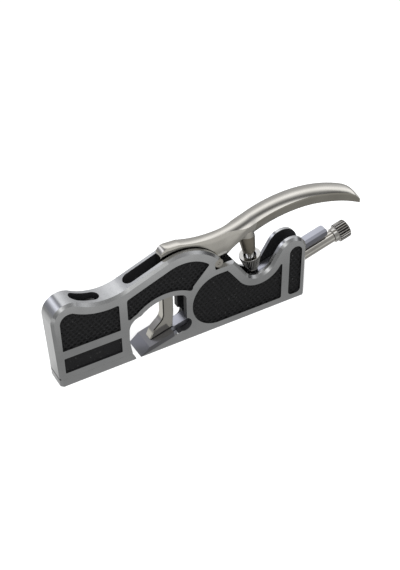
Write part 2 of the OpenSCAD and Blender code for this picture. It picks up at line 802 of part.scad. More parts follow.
module lever_screw_stud() {
  color(stainless)
    along_screw(stud_t0)
      union() {
        cylinder(d = stud_d, h = stud_t1 - stud_t0 - 0.6);
        translate([0, 0, stud_t1 - stud_t0 - 0.6])
          cylinder(d1 = stud_d, d2 = stud_d - 1.2, h = 0.6);
      }
}

module lever_screw_knob() {
  color(stainless)
    along_screw(wheel_t0)
      rotate_extrude()
        polygon([[stud_d / 2 + 0.02, 0], [wheel_low_d / 2 - 0.6, 0], [wheel_low_d / 2, 0.6],
          [wheel_top_d / 2 - 0.4, wheel_h - 2.4], [wheel_top_d / 2, wheel_h - 1.6],
          [wheel_top_d / 2, wheel_h - 0.5], [wheel_top_d / 2 - 0.5, wheel_h],
          [wheel_top_d / 2 - 1.6, wheel_h], [wheel_top_d / 2 - 3.6, wheel_h - 1.8],
          [stud_d / 2 + 0.02, wheel_h - 1.8]]);
}

module thrust_pad() {
  color(dark)
    difference() {
      intersection() {
        along_screw(-3)
          cylinder(d = pad_d, h = 8.2);
        along_bed(0, blade_t + seat_gap)
          translate([60, -10, 0])
            cube([80, 20, 30]);
      }
      along_screw(stud_t0 - 0.1)
        cylinder(d = stud_d + 2 * run_gap, h = 10);
    }
}

module adjuster_bush() {
  color(brass_tone)
    along_bed(bush_s, -rod_drop)
      rotate([0, 90, 0])
        difference() {
          cylinder(d = rod_d + 0.04, h = bush_len);
          translate([0, 0, -cut])
            cylinder(d = rod_thread_d + 2 * run_gap, h = bush_len + 2 * cut);
        }
}

module adjuster_spindle() {
  color(stainless)
    along_bed(0, -rod_drop)
      rotate([0, 90, 0])
        difference() {
          union() {
            translate([0, 0, spindle_s])
              cylinder(d = rod_thread_d, h = thread_end_s - spindle_s + 1);
            translate([0, 0, thread_end_s])
              cylinder(d = rod_d, h = hub_s - 0.2 - thread_end_s);
            translate([0, 0, hub_s - 1])
              cylinder(d = rod_thread_d, h = 9);
          }
          translate([0, 0, drive_s - groove_w / 2])
            difference() {
              cylinder(d = rod_d + 2, h = groove_w);
              translate([0, 0, -cut])
                cylinder(r = groove_r, h = groove_w + 2 * cut);
            }
        }
}

module adjuster_knob() {
  color(stainless)
    along_bed(hub_s, -rod_drop)
      rotate([0, 90, 0])
        difference() {
          union() {
            cylinder(d = hub_d, h = hub_len + 1);
            translate([0, 0, hub_len])
              cylinder(d1 = knob_d - 1, d2 = knob_d, h = 0.5);
            translate([0, 0, hub_len + 0.5])
              cylinder(d = knob_d, h = knob_len - 1);
            translate([0, 0, hub_len + knob_len - 0.5])
              cylinder(d1 = knob_d, d2 = knob_d - 2, h = 0.8);
            translate([0, 0, hub_len + knob_len + 0.3])
              cylinder(d1 = knob_d - 2, d2 = knob_d - 7, h = 0.6);
          }
          translate([0, 0, -cut])
            cylinder(d = rod_thread_d + 0.04, h = 10);
          translate([0, 0, 2])
            rotate([0, 90, 0])
              cylinder(d = 3.04, h = 12, $fn = 48);
        }
}

module knob_grub_screw() {
  color(dark)
    along_bed(hub_s + 2, -rod_drop)
      rotate([0, 180, 0])
        translate([0, 0, rod_thread_d / 2 + 0.05])
          difference() {
            cylinder(d = 3, h = 2.4, $fn = 48);
            translate([0, 0, 1.2])
              cylinder(d = 1.7, h = 2, $fn = 6);
          }
}

body();
toe_piece();
toe_lock_screw();
toe_lock_washer();
blade();
blade_drive_pin();
lever_cap();
lever_pivot_pin();
lever_screw_stud();
lever_screw_knob();
thrust_pad();
adjuster_bush();
adjuster_spindle();
adjuster_knob();
knob_grub_screw();
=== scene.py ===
import math
import bmesh
import bpy
from mathutils import Matrix, Vector


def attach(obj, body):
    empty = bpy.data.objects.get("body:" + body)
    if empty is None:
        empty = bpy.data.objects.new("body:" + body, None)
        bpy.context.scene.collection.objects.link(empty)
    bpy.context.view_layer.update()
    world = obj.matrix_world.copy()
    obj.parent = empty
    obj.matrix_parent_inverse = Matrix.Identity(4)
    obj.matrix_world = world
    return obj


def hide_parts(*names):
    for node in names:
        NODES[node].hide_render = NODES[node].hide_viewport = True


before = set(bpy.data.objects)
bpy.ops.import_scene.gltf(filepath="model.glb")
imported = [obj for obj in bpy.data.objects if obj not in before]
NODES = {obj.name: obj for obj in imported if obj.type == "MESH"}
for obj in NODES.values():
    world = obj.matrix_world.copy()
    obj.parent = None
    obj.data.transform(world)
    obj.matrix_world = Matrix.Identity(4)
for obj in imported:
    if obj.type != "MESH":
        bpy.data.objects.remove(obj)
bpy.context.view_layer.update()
MM = 0.001

# Sizes, as in the CAD source (mm)
BED = math.radians(15.25)
EDGE_X = -40.0
ROD_DROP = 8.6
HALF_W = 9.5
SCREW_TILT = math.radians(10)
SCREW_FOOT = Vector((60.9, 0, 31.7))
SLOT = (-41.0, 400.0, 5.02)  # from x, to x, half width
POCKET, POCKET_LOW = (-82.4, -69.6, 4.62), 20.0
RECESS_FLOOR = 8.5  # from the middle plane

# Where the colour changes (mm): painted shade at the toe line and boss, a painted reflection on half the
# shank
FAR_OUT = 400
# painted shade: a dark band on the front over the toe's parting line, wider than its gap
TOE_LINE_SHADE = (None, None, 5.7), (-102.3, None, 7.1)
THROAT_REAR = (-8.5, None, 4.5), (3.2, 9.44, 45.5)
# painted shade: the boss below the palm is browner, darker and rougher
BOSS_SHADE = (46, None, 40), (72, None, 69.5)
# painted dark reflection: the near half of the shank beyond the body
SHANK_SHADE_HALF = (62, None, None), (None, -1.2, None)
STEEL_LOW, STEEL_HIGH = (0.46, 0.465, 0.465), (0.56, 0.565, 0.565)


def on_bed(s, h):
    return Vector((EDGE_X + s * math.cos(BED) - h * math.sin(BED), 0,
                   s * math.sin(BED) + h * math.cos(BED)))


def axis_frame(origin, axis):
    """Matrix whose local z runs along axis from origin (mm), local x across the plane."""
    z = axis.normalized()
    x = Vector((0, 1, 0))
    y = z.cross(x)
    m = Matrix((x, y, z)).transposed().to_4x4()
    m.translation = origin
    return m


BED_AXIS = Vector((math.cos(BED), 0, math.sin(BED)))
SCREW_AXIS = Vector((-math.sin(SCREW_TILT), 0, math.cos(SCREW_TILT)))
SPINDLE = axis_frame(on_bed(0, -ROD_DROP), BED_AXIS)
SCREW = axis_frame(SCREW_FOOT, SCREW_AXIS)


# Node helpers
class Tree:
    """A short way to write the nodes of a material or of the world."""

    def __init__(self, owner, output, coordinates):
        owner.use_nodes = True
        self.owner = owner
        self.nt = owner.node_tree
        self.nt.nodes.clear()
        self.out = self.nt.nodes.new(output)
        self.coord = self.nt.nodes.new("ShaderNodeTexCoord").outputs[coordinates]

    def put(self, socket, value):
        if isinstance(value, bpy.types.NodeSocket):
            self.nt.links.new(value, socket)
        else:
            socket.default_value = value

    def add(self, kind, out=0, props=None, **ins):
        node = self.nt.nodes.new(kind)
        for k, v in (props or {}).items():
            setattr(node, k, v)
        for k, v in ins.items():
            key = int(k[1:]) if k[0] == "i" and k[1:].isdigit() else k.replace("_", " ")
            self.put(node.inputs[key], v)
        return node.outputs[out]

    def math(self, op, a, b=0.0, c=0.0, clamp=False):
        return self.add("ShaderNodeMath", props={"operation": op, "use_clamp": clamp}, i0=a, i1=b, i2=c)

    def scaled(self, sx, sy, sz):
        return self.add("ShaderNodeMapping", Vector=self.coord, Scale=(sx, sy, sz))

    def vector(self, op, a, b, out=0):
        return self.add("ShaderNodeVectorMath", out, props={"operation": op}, i0=a, i1=b)

    def noise(self, vector, scale, detail=2.0, rough=0.5):
        return self.add("ShaderNodeTexNoise", Vector=vector, Scale=scale, Detail=detail, Roughness=rough)

    def ramp(self, fac, stops):
        node = self.nt.nodes.new("ShaderNodeValToRGB")
        self.put(node.inputs["Fac"], fac)
        el = node.color_ramp.elements
        while len(el) < len(stops):
            el.new(0.5)
        for e, (pos, col) in zip(el, stops):
            e.position = pos
            e.color = (*col, 1.0) if len(col) == 3 else col
        return node.outputs["Color"]

    def mix(self, fac, a, b):
        return self.add("ShaderNodeMix", 2, props={"data_type": "RGBA"}, i0=fac, i6=a, i7=b)

    def blend_noise(self, a, b, share):
        """Two noises as one tone: share of the first, the rest of the second."""
        a, b = self.math("MULTIPLY", a, share), self.math("MULTIPLY", b, 1 - share)
        return self.math("ADD", a, b)

    def xyz(self):
        node = self.nt.nodes.new("ShaderNodeSeparateXYZ")
        self.nt.links.new(self.coord, node.inputs[0])
        return node.outputs[:3]

    def paths(self):
        """Camera ray, and glossy or transmission ray: 1 or 0."""
        ray = self.nt.nodes.new("ShaderNodeLightPath").outputs
        mirrored = self.math("MAXIMUM", ray["Is Glossy Ray"], ray["Is Transmission Ray"])
        return ray["Is Camera Ray"], mirrored

    def shader(self, color, rough, metallic=1.0, normal=None, **more):
        node = self.nt.nodes.new("ShaderNodeBsdfPrincipled")
        self.put(node.inputs["Base Color"], color)
        self.put(node.inputs["Roughness"], rough)
        self.put(node.inputs["Metallic"], metallic)
        if normal is not None:
            self.put(node.inputs["Normal"], normal)
        for k, v in more.items():
            self.put(node.inputs[k.replace("_", " ")], v)
        return self.finish(node.outputs[0])

    def bump(self, height, strength, distance):
        return self.add("ShaderNodeBump", Height=height, Strength=strength, Distance=distance)

    def finish(self, shader):
        self.nt.links.new(shader, self.out.inputs["Surface"])
        return self.owner


def material(name):
    return Tree(bpy.data.materials.new(name), "ShaderNodeOutputMaterial", "Object")


# Masks over an object's own space
def inside(t, value, low, high, soft=0.00005):
    """1 between low and high along one coordinate, 0 outside."""
    a = t.add("ShaderNodeMapRange", Value=value, From_Min=low - soft, From_Max=low + soft)
    b = t.add("ShaderNodeMapRange", Value=value, From_Min=high - soft, From_Max=high + soft,
              To_Min=1.0, To_Max=0.0)
    return t.math("MULTIPLY", a, b)


def box_mask(t, x, y, z, lo, hi):
    """1 inside the box from lo to hi (mm), 0 outside; a None limit is open."""
    mask = None
    for value, low, high in zip((x, y, z), lo, hi):
        if low is None and high is None:
            continue
        low = -FAR_OUT if low is None else low
        high = FAR_OUT if high is None else high
        part = inside(t, value, low * MM, high * MM, 0.00002)
        mask = part if mask is None else t.math("MULTIPLY", mask, part)
    return mask


def stadium_mask(t, x, y, x0, x1, r):
    """1 inside a round-ended slot in plan (mm), 0 outside."""
    before = t.math("SUBTRACT", x0 * MM, x)
    after = t.math("SUBTRACT", x, x1 * MM)
    dx = t.math("MAXIMUM", 0.0, t.math("MAXIMUM", before, after))
    dist = t.math("SQRT", t.math("ADD", t.math("MULTIPLY", dx, dx), t.math("MULTIPLY", y, y)))
    return inside(t, dist, -1.0, r * MM, 0.00001)


# Materials
def steel_body(name, with_slots):
    """Satin steel finished on the grinder, with a dark band of painted shade along the toe's parting
    line on the front face.

    On the body, the slot for the lever and blade, the lock screw's pocket and the rear of the
    throat are black.
    """
    t = material(name)
    x, y, z = t.xyz()
    grain = t.noise(t.scaled(60, 60, 900), 4.0, 3.0, 0.6)
    cloud = t.noise(t.coord, 45.0, 3.0, 0.55)
    fine = t.noise(t.coord, 2600.0, 2.0, 0.6)
    steel = t.ramp(t.blend_noise(grain, cloud, 0.35), [(0.3, STEEL_LOW), (0.7, STEEL_HIGH)])
    rough = t.math("MULTIPLY_ADD", fine, 0.12, 0.13)
    dark = box_mask(t, x, y, z, *TOE_LINE_SHADE)
    if with_slots:
        across = t.math("ABSOLUTE", y)
        above_bed = t.math("MULTIPLY_ADD", x, -math.sin(BED),
                           t.math("MULTIPLY_ADD", z, math.cos(BED), EDGE_X * MM * math.sin(BED)))
        slot = t.math("MULTIPLY", stadium_mask(t, x, y, *SLOT),
                      inside(t, above_bed, -0.00009, 1.0, 0.00001))
        pocket = t.math("MULTIPLY", stadium_mask(t, x, y, *POCKET),
                        inside(t, z, POCKET_LOW * MM, 1.0))
        rear = box_mask(t, x, across, z, *THROAT_REAR)
        for part in (slot, pocket, rear):
            dark = t.math("MAXIMUM", dark, part)
    # near black over the mask: painted shade on the toe's parting line, and black in the slot, the
    # pocket and the rear of the throat
    color = t.mix(dark, steel, (0.012, 0.012, 0.013, 1))
    metal = t.math("SUBTRACT", 1.0, dark)
    rough = t.math("MAXIMUM", rough, t.math("MULTIPLY", dark, 0.55))
    nrm = t.bump(t.math("ADD", grain, fine), 0.05, 0.0001)
    return t.shader(color, rough, metal, nrm)


def nickel(name, tones):
    """Satin nickel of the lever, with painted shade on the boss below the palm, browner and darker
    there.
    """
    t = material(name)
    cloud = t.noise(t.coord, 60.0, 3.0, 0.5)
    fine = t.noise(t.coord, 2200.0, 2.0, 0.6)
    color = t.ramp(t.blend_noise(cloud, fine, 0.6), list(zip((0.3, 0.7), tones)))
    # painted shade on the boss below the palm
    low = box_mask(t, *t.xyz(), *BOSS_SHADE)
    color = t.mix(low, color, (0.26, 0.235, 0.19, 1))
    r = t.math("ADD", t.math("MULTIPLY_ADD", cloud, 0.08, 0.10), t.math("MULTIPLY", low, 0.3))
    return t.shader(color, r, 1.0, t.bump(fine, 0.02, 0.00005))


def blade_steel():
    """Lapped blade steel with a faint lavender cast, a painted reflection of bluish light from above.

    Painted shade darkens the wide part by the edge, and a painted dark reflection one half of the shank
    beyond the body.
    """
    t = material("lapped_blade_steel")
    x, y, z = t.xyz()
    lap = t.noise(t.scaled(30, 900, 30), 6.0, 2.0, 0.6)
    cloud = t.noise(t.coord, 60.0, 3.0, 0.5)
    # the blue in these tones is a painted reflection of bluish light from above
    color = t.ramp(t.blend_noise(cloud, lap, 0.6),
                   [(0.3, (0.41, 0.42, 0.465)), (0.7, (0.49, 0.50, 0.55))])
    # painted shade: the wide part by the edge, which lies in the throat, is darker
    front = t.add("ShaderNodeMapRange", Value=x, From_Min=-0.0125, From_Max=-0.0115,
                  To_Min=1.0, To_Max=0.0)
    color = t.mix(front, color, (0.20, 0.20, 0.21, 1))
    # painted dark reflection on the near half of the shank
    shank_shade = box_mask(t, x, y, z, *SHANK_SHADE_HALF)
    color = t.mix(shank_shade, color, (0.25, 0.255, 0.285, 1))
    return t.shader(color, t.math("MULTIPLY_ADD", lap, 0.08, 0.30), 1.0, t.bump(lap, 0.03, 0.0001))


def plain_metal(name, low, high, rough, rough_var=0.1, bump=0.08):
    t = material(name)
    cloud = t.noise(t.coord, 60.0, 3.0, 0.5)
    fine = t.noise(t.coord, 1500.0, 2.0, 0.6)
    color = t.ramp(t.blend_noise(cloud, fine, 0.6), [(0.3, low), (0.7, high)])
    r = t.math("MULTIPLY_ADD", fine, rough_var, rough)
    return t.shader(color, r, 1.0, t.bump(fine, bump, 0.0001))


def turned_metal(name, low, high, rough, axis, grooves=None):
    """Bright turned metal with fine rings round its axis, a unit vector in the side plane.

    grooves paints shade into the knurl's grooves: (point on the axis, start, radius at start,
    widening, end, depth), in mm along the axis, with widening in mm of radius per mm.
    """
    t = material(name)
    dot = t.vector("DOT_PRODUCT", t.coord, axis, 1)
    rings = t.noise(t.add("ShaderNodeCombineXYZ", X=dot), 5200.0, 2.0, 0.7)
    cloud = t.noise(t.coord, 90.0, 2.0, 0.5)
    color = t.ramp(t.blend_noise(rings, cloud, 0.5), [(0.3, low), (0.7, high)])
    r = t.math("MULTIPLY_ADD", rings, 0.12, rough)
    if grooves:
        origin, start, radius, widen, end, depth = grooves
        arm = t.vector("SUBTRACT", t.coord, tuple(origin * MM))
        along = t.vector("DOT_PRODUCT", arm, axis, 1)
        side = t.vector("CROSS_PRODUCT", arm, axis)
        dist = t.add("ShaderNodeVectorMath", 1, props={"operation": "LENGTH"}, i0=side)
        crest = t.math("MULTIPLY_ADD", t.math("SUBTRACT", along, start * MM), widen, radius * MM)
        sunk = t.math("DIVIDE", t.math("SUBTRACT", crest, dist), depth * MM, clamp=True)
        sunk = t.math("MULTIPLY", sunk, inside(t, along, start * MM, end * MM))
        # painted shade in the knurl's grooves, darker where they sink deeper
        color = t.mix(sunk, color, (0.05, 0.048, 0.045, 1))
    return t.shader(color, r, 1.0, t.bump(rings, 0.12, 0.00008))


def black_texture(name, pits):
    """Black recess lining with pale specks: a staggered field of small pits, or fine grain only."""
    t = material(name)
    grain = t.noise(t.coord, 1500.0, 3.0, 0.65)
    patch = t.noise(t.coord, 300.0, 2.0, 0.5)
    base = t.ramp(grain, [(0.3, (0.004, 0.004, 0.0045)), (0.7, (0.013, 0.013, 0.014))])
    speck = t.ramp(t.noise(t.coord, 620.0, 2.0, 0.6), [(0.66, (0, 0, 0)), (0.73, (1, 1, 1))])
    base = t.mix(speck, base, (0.07, 0.07, 0.068, 1))
    if pits:
        flat = t.add("ShaderNodeMapping", Vector=t.coord, Scale=(300, 0, 300),
                     Rotation=(0, math.radians(33), 0))
        cell = t.add("ShaderNodeTexVoronoi", 0, props={"voronoi_dimensions": "3D", "feature": "F1"},
                     Vector=flat, Scale=1.0, Randomness=0.12)
        pit = t.ramp(cell, [(0.12, (0, 0, 0)), (0.42, (1, 1, 1))])
        # painted shade: the middles of the pits are darker than the lining
        base = t.mix(pit, (0.002, 0.002, 0.002, 1), base)
        height = t.math("ADD", pit, t.math("MULTIPLY", t.math("ADD", grain, patch), 0.35))
        nrm = t.bump(height, 0.9, 0.0009)
    else:
        nrm = t.bump(t.math("ADD", grain, patch), 0.5, 0.0003)
    rough = t.math("MULTIPLY_ADD", grain, 0.25, 0.36)
    return t.shader(base, rough, 0.0, nrm, Specular_IOR_Level=0.22)


STEEL = steel_body("ground_steel_body", True)
STEEL_TOE = steel_body("ground_steel_toe", False)
NICKEL = nickel("satin_nickel", ((0.52, 0.50, 0.45), (0.62, 0.60, 0.55)))
# a darker copy of the satin nickel for the palm's sides below the crease: painted shade
NICKEL_SIDE_SHADE = nickel("satin_nickel_side_painted_shade", ((0.37, 0.35, 0.30), (0.45, 0.43, 0.375)))
BLADE = blade_steel()
BRIGHT = turned_metal("turned_stainless_bed", (0.50, 0.48, 0.44), (0.66, 0.64, 0.59), 0.07,
                      tuple(BED_AXIS))
CHROME = turned_metal("turned_stainless_screw", (0.60, 0.59, 0.56), (0.76, 0.75, 0.72), 0.06,
                      tuple(SCREW_AXIS))
# the last tuples paint shade into the knurls' grooves
KNOB = turned_metal("knurled_stainless_bed", (0.48, 0.465, 0.43), (0.62, 0.605, 0.57), 0.08,
                    tuple(BED_AXIS), (on_bed(0, -ROD_DROP), 180.6, 7.22, 0.0, 190.2, 0.45))
WHEEL = turned_metal("knurled_stainless_screw", (0.44, 0.432, 0.41), (0.56, 0.55, 0.525), 0.10,
                     tuple(SCREW_AXIS), (SCREW_FOOT, 6.2, 5.14, 0.2727, 18.2, 0.36))
PIN = plain_metal("pivot_pin_nickel", (0.42, 0.40, 0.36), (0.52, 0.50, 0.45), 0.24, 0.1, bump=0.05)
SCREW_HEAD = plain_metal("lock_screw_steel", (0.20, 0.20, 0.20), (0.32, 0.32, 0.31), 0.28, 0.12)
# near black for the lever leg's slanted edges: painted shade
LEG_EDGE_SHADE = plain_metal("leg_edge_painted_shade", (0.05, 0.047, 0.042), (0.09, 0.085, 0.075), 0.4, 0.1)
BLACK_OXIDE = plain_metal("black_oxide", (0.03, 0.03, 0.032), (0.07, 0.07, 0.075), 0.35, 0.12)
BRASS = plain_metal("brass", (0.56, 0.42, 0.18), (0.68, 0.53, 0.26), 0.25, 0.1)
RECESS = black_texture("black_textured_recess", True)
RECESS_PLAIN = black_texture("black_grained_recess", False)


def paint(obj, mat):
    if not obj.data.materials:
        obj.data.materials.append(mat)
    for s in obj.material_slots:
        s.link = "OBJECT"
        s.material = mat


for node, mat in {
    "body": STEEL, "toe_piece": STEEL_TOE, "toe_lock_screw": SCREW_HEAD,
    "toe_lock_washer": BRIGHT, "blade": BLADE, "blade_drive_pin": BRIGHT, "lever_cap": NICKEL,
    "lever_pivot_pin": PIN, "lever_screw_stud": CHROME, "lever_screw_knob": CHROME,
    "thrust_pad": BLACK_OXIDE, "adjuster_bush": BRASS, "adjuster_spindle": BRIGHT,
    "adjuster_knob": BRIGHT, "knob_grub_screw": BLACK_OXIDE,
}.items():
    paint(NODES[node], mat)


# Mesh helpers
def make(name, verts, faces, mat, body, angle=35):
    """A mesh object from points in mm, painted, shaded and riding on its body."""
    mesh = bpy.data.meshes.new(name)
    mesh.from_pydata([tuple(Vector(v) * MM) for v in verts], [], faces)
    bm = bmesh.new()
    bm.from_mesh(mesh)
    bmesh.ops.remove_doubles(bm, verts=bm.verts, dist=1e-6)
    bmesh.ops.recalc_face_normals(bm, faces=bm.faces)
    bm.to_mesh(mesh)
    bm.free()
    obj = bpy.data.objects.new(name, mesh)
    bpy.context.scene.collection.objects.link(obj)
    mesh.materials.append(mat)
    mesh.polygons.foreach_set("use_smooth", [True] * len(mesh.polygons))
    mesh.set_sharp_from_angle(angle=math.radians(angle))
    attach(obj, body)
    return obj


def loft(rings):
    """Vertices and faces of a skin over rings with equal point counts, with flat end caps."""
    verts = [p for ring in rings for p in ring]
    n = len(rings[0])
    faces = []
    for i in range(len(rings) - 1):
        for j in range(n):
            k = (j + 1) % n
            faces.append((i * n + j, i * n + k, (i + 1) * n + k, (i + 1) * n + j))
    faces.append(tuple(range(n)))
    faces.append(tuple(range((len(rings) - 1) * n, len(rings) * n)))
    return verts, faces


FLUTE_HALF, FLUTE_RAMP = 0.34, 0.2  # of a flute's turn


def turned(place, profile, segments=96, flutes=0, depth=0.0):
    """A turned piece: profile of (t, r, knurl share) along the local z of place.

    Each flute takes depth off the radius over the middle part of its share of the turn.
    """
    rings = []
    for t, r, share in profile:
        ring = []
        for i in range(segments):
            a = 2 * math.pi * i / segments
            rr = r
            if flutes and share:
                phase = (flutes * i / segments) % 1.0
                sunk = min(1.0, max(0.0, (FLUTE_HALF - abs(phase - 0.5)) / FLUTE_RAMP))
                rr = r - depth * share * sunk
            ring.append(place @ Vector((rr * math.cos(a), rr * math.sin(a), t)))
        rings.append(ring)
    return loft(rings)


def merge(*parts):
    """Joins (verts, faces) parts into one."""
    verts, faces = [], []
    for v, f in parts:
        base = len(verts)
        verts += list(v)
        faces += [tuple(base + i for i in face) for face in f]
    return verts, faces


def slab(outline, half, ease=0.7):
    """A plate drawn by its side outline (x, z), its edges eased by a small chamfer."""
    n = len(outline)
    turn = sum(outline[i - 1][0] * outline[i][1] - outline[i][0] * outline[i - 1][1] for i in range(n))
    inner = []
    for i in range(n):
        a, b, d = Vector(outline[i - 1]), Vector(outline[i]), Vector(outline[(i + 1) % n])
        e1, e2 = (b - a).normalized(), (d - b).normalized()
        n1, n2 = Vector((-e1.y, e1.x)), Vector((-e2.y, e2.x))
        if turn < 0:
            n1, n2 = -n1, -n2
        m = (n1 + n2).normalized()
        inner.append(b + m * ease / max(0.5, m.dot(n1)))
    rings = []
    for y, pts in ((-half, inner), (-half + ease, outline), (half - ease, outline), (half, inner)):
        rings.append([Vector((p[0], y, p[1])) for p in pts])
    return loft(rings)


# Palm lever
PALM_C, PALM_R = Vector((94.5, -16.2)), 108.8
UNDER_C, UNDER_R = Vector((96.3, -20.8)), 102.8
DIP_X, DIP_Z = 24.5, 79.8
dip_a, dip_b = DIP_Z - PALM_C.y, PALM_C.x - DIP_X
DIP_R = (dip_a ** 2 + dip_b ** 2 - PALM_R ** 2) / (2 * (PALM_R - dip_a))
DIP_C = Vector((DIP_X, DIP_Z + DIP_R))
PALM_X = (PALM_C + PALM_R * (DIP_C - PALM_C).normalized()).x
TIP_C, TIP_R = Vector((120.3, 51.6)), 37.5
NOSE_C, NOSE_R = Vector((-11.8, 78.2)), 6.2
WEB_C, WEB_R = Vector((70, 35.9)), 40.4
PLATE_HALF, PALM_HALF = 3.75, 8.2
CROWN, DRAW = 2.8, 0.32
TIP_FROM, TIP_BLEND = 132, 3.0
DEEPER, DEEP_X, THIN_X = 1.9, 46, 118
CROWN_R = (PALM_HALF ** 2 + CROWN ** 2) / (2 * CROWN)
LEVER_START, LEVER_END = NOSE_C.x - NOSE_R, 155.0
PLAN_X = LEVER_END - PALM_HALF


def smooth(u):
    u = min(1.0, max(0.0, u))
    return (1 - math.cos(math.pi * u)) / 2


def arc(c, r, x, up=1):
    return c.y + up * math.sqrt(max(0.0, r ** 2 - (x - c.x) ** 2))


def lever_top(x):
    """Top: nose, a straight to the dip, and the palm's arc blended into the tip's."""
    if x < NOSE_C.x:
        return arc(NOSE_C, NOSE_R, x)
    if x < PALM_X:
        dip = arc(DIP_C, DIP_R, x, -1)
        line = NOSE_C.y + NOSE_R - 0.05 * (x - NOSE_C.x)
        return min(dip, line) if x < 2 else dip
    palm = arc(PALM_C, PALM_R, x)
    if x < TIP_FROM:
        return palm
    tip = arc(TIP_C, TIP_R, x)
    h = min(1.0, max(0.0, 0.5 + (palm - tip) / TIP_BLEND))
    return palm + (tip - palm) * h - TIP_BLEND / 4 * h * (1 - h)


def low_shift(x):
    """The palm is a little deeper along its middle and thins towards the tip."""
    if x < THIN_X:
        return -DEEPER * smooth((x - DEEP_X) / 14)
    return -DEEPER + 2.7 * ((x - THIN_X) / 37) ** 1.5 + 0.9 * smooth((x - 143) / 12)


def lever_low(x):
    """Underside: nose, plate behind it, hook round the pivot, web and palm."""
    if x < NOSE_C.x:
        return arc(NOSE_C, NOSE_R, x, -1)
    if x < -9:
        return 72 - 4 * (x - NOSE_C.x) / 2.8
    if x < 8:
        return 68.0
    if x < 19.6:
        return 68.0 - 9.5 * (x - 8) / 11.6
    if x < 29.6:
        return 59.9 - math.sqrt(max(0.0, 49.0 - (x - 26) ** 2))
    if x < 33.8:
        return 53.9
    base = arc(WEB_C, WEB_R, x) if x < 56.4 else arc(UNDER_C, UNDER_R, x)
    return base + low_shift(x)


def lever_half(x):
    w = PLATE_HALF + (PALM_HALF - PLATE_HALF) * smooth((x - 34) / 19)
    if x > PLAN_X:
        w = min(w, math.sqrt(max(0.0, PALM_HALF ** 2 - (x - PLAN_X) ** 2)))
    return w


def lever_ring(x):
    """One section of the lever: rounded top, a sharp side edge, sides that draw in under it."""
    top, low, w = lever_top(x), lever_low(x), lever_half(x)
    low = min(low, top - 0.3)
    half = []
    for k in range(11):
        y = w * math.sin(math.pi / 2 * k / 10)
        drop = CROWN_R - math.sqrt(CROWN_R ** 2 - y ** 2)
        half.append((y, max(low + 0.1, top - drop)))
    edge = half[-1][1]
    side = []
    for k in range(1, 6):
        z = edge - (edge - low) * k / 5
        side.append((min(w, PALM_HALF - DRAW * max(0.0, top - z - CROWN)), z))
    ease = min(0.22, 0.3 * (edge - low), 0.3 * w)
    half[-1] = (w - 0.4 * ease, edge + 0.2 * ease)
    half.append((min(w, side[0][0] + 0.1), edge - ease))
    half += side[:-1]
    y, z = side[-1]
    half.append((y, z + ease))
    half.append((max(0.0, y - 2 * ease), z))
    ring = [Vector((x, -y, z)) for y, z in half]
    ring += [Vector((x, y, z)) for y, z in reversed(half[1:])]
    return ring


def stations():
    """Where the lever's sections lie: closer together at the round ends."""
    xs = [LEVER_START + 0.01 + NOSE_R * (1 - math.cos(math.pi / 2 * i / 10)) for i in range(11)]
    x = xs[-1] + 1.0
    while x < PLAN_X - 0.6:
        xs.append(x)
        x += 1.1
    start = xs[-1]
    for i in range(1, 25):
        xs.append(start + (LEVER_END - 0.02 - start) * math.sin(math.pi / 2 * i / 24))
    return xs


skin = loft([lever_ring(x) for x in stations()])
f0, f1 = on_bed(12.3, 4.15), on_bed(32, 4.15)
LEG = [(-17.6, 79), (-17.6, 25.6), (-18.6, 22.4), (-20.4, 20.2), (-26.0, 15.1), (-28.3, 9.6),
       (f0.x, f0.z), (f1.x, f1.z), (-9.9, 15.5), (-9.1, 25), (-8.9, 79)]
leg = slab(LEG, PLATE_HALF)
boss = turned(SCREW, [(27.6, 0.2, 0), (27.6, 2.95, 0), (22.6, 2.95, 0), (22.5, 4.3, 0),
                      (22.6, 4.65, 0), (22.9, 4.85, 0), (29, 5.5, 0), (35.5, 6.2, 0),
                      (44, 6.2, 0)], 72)
lever = make("palm_lever", *merge(skin, leg, boss), NICKEL, "lever", angle=30)
lever.data.materials.append(LEG_EDGE_SHADE)
lever.data.materials.append(NICKEL_SIDE_SHADE)
# the leg's slanted edges take the second material, near black as painted shade, and the palm's sides
# below the crease the third, nickel darkened as painted shade
for face in lever.data.polygons:
    c = face.center / MM
    slanted = abs(abs(face.normal.y) - 0.70) < 0.12 and abs(c.y) > PLATE_HALF - 0.7
    if slanted and c.z < 70 and -26.5 < c.x < -9.95:
        face.material_index = 1
    elif c.x > 58 and c.z > 66 and abs(face.normal.y) > 0.86:
        face.material_index = 2
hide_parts("lever_cap")

# Knurled knobs
knob = make("knurled_adjuster_knob", *turned(SPINDLE, [
    (177.0, 3.0, 0), (177.0, 5.4, 0), (177.25, 5.75, 0), (180.3, 5.75, 0), (180.35, 6.3, 0),
    (180.5, 6.75, 0.3), (181.0, 7.25, 1), (185, 7.3, 1), (189.7, 7.3, 1), (190.2, 7.0, 0.5),
    (190.6, 6.3, 0), (190.9, 5.3, 0), (191.08, 3.8, 0), (191.15, 1.5, 0)], 176, 22, 0.75),
    KNOB, "adjuster", angle=24)
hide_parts("adjuster_knob")

wheel = make("knurled_thumb_wheel", *turned(SCREW, [
    (5.4, 2.55, 0), (5.4, 4.5, 0), (5.7, 5.0, 0.2), (6.2, 5.2, 0.9), (11.0, 6.5, 1),
    (16.0, 7.87, 1), (17.4, 8.2, 1), (18.2, 8.2, 0.5), (18.5, 8.0, 0), (18.6, 7.8, 0),
    (18.6, 5.5, 0), (18.1, 4.7, 0), (16.3, 4.0, 0), (16.0, 3.6, 0), (16.0, 2.55, 0)],
    288, 36, 0.6), WHEEL, "lever_screw", angle=24)
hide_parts("lever_screw_knob")


